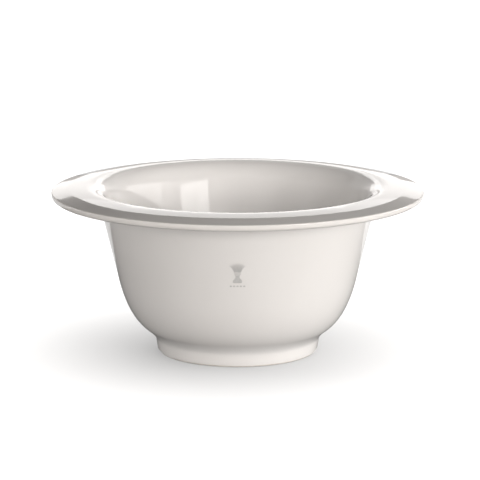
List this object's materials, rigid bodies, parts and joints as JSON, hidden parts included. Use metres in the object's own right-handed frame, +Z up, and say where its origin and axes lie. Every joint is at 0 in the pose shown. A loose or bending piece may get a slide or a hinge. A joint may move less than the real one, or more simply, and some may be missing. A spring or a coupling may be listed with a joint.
{
  "type": "shaving bowl",
  "caption": "Free-standing white glazed porcelain shaving bowl: bell-shaped wall, wide rolled-over rim, low foot ring and a small grey printed brush mark.",
  "frame": {"origin": "centre of the foot ring's resting plane", "axes": "+Z up along the bowl's axis, out of its mouth; the printed mark faces -Y"},
  "size_m": [0.13, 0.13, 0.0587],
  "materials": {
    "bare_porcelain": "matt, unglazed, fine grained",
    "clear_glaze": "high gloss, white with a faint warm tint",
    "grey_enamel": "pale grey, semi-gloss, printed and fired on"
  },
  "bodies": {
    "root": {"foot_ring": "bare_porcelain", "bowl_wall": "bare_porcelain", "rim_flange": "bare_porcelain", "glaze_coat": "clear_glaze", "foot_well_glaze": "clear_glaze", "printed_brush": "grey_enamel", "printed_underline": "grey_enamel"}
  },
  "joints": []
}
